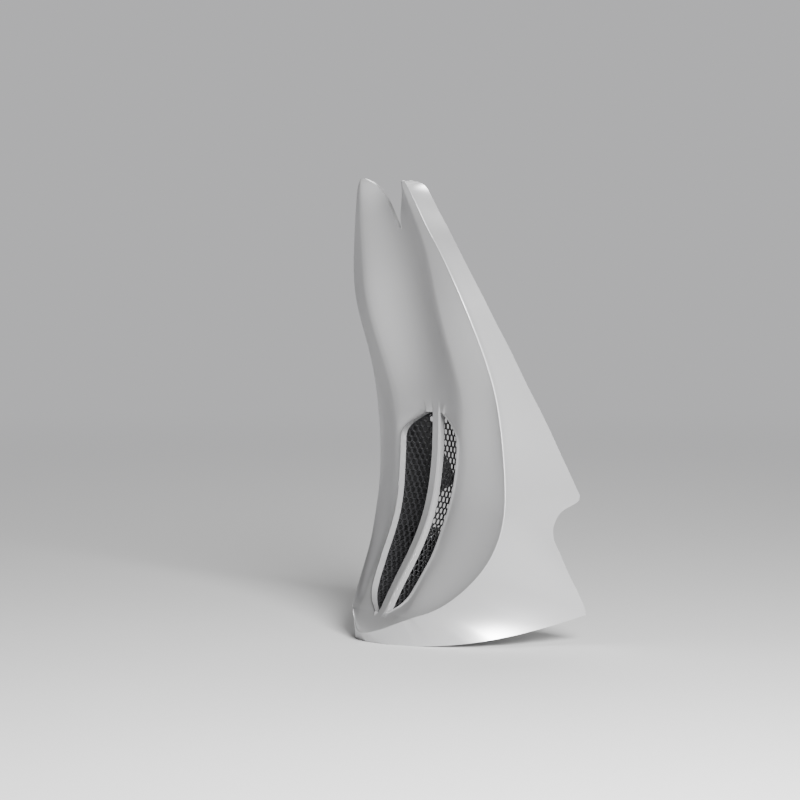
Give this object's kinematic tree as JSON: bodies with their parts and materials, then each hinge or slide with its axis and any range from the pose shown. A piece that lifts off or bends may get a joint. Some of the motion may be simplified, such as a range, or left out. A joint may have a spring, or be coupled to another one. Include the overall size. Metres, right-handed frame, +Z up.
{
  "type": "motorcycle chin spoiler",
  "caption": "Chin spoiler for a cruiser motorcycle: a moulded shell with a screened vent that clamps to the frame downtubes behind the front wheel.",
  "frame": {"origin": "bottom centre of the part's box, on the middle plane", "axes": "+Z up, the front of the motorcycle is -Y, +X is the motorcycle's left side"},
  "size_m": [0.249, 0.186, 0.46],
  "materials": {
    "shell": "satin silver, fine pebbled grain, darker inside",
    "screen": "matte black coating",
    "brackets": "semi-gloss black powder coat",
    "bands": "brushed",
    "liners": "matte",
    "fasteners": "bright zinc",
    "inserts": "turned"
  },
  "bodies": {
    "root": {"spoiler_shell": "shell", "mesh_screen": "screen", "upper_bracket_left": "brackets", "upper_bracket_right": "brackets", "clamp_band_left": "bands", "clamp_band_right": "bands", "clamp_liner_left": "liners", "clamp_liner_right": "liners", "clamp_bolts": "fasteners", "clamp_washers": "fasteners", "clamp_nuts": "fasteners", "lower_bracket_left": "brackets", "lower_bracket_right": "brackets", "lower_bar": "brackets", "bar_bolts": "fasteners", "bar_washers": "fasteners", "bar_nuts": "fasteners", "foot_screws": "fasteners", "foot_washers": "fasteners", "threaded_inserts": "inserts"}
  },
  "joints": []
}
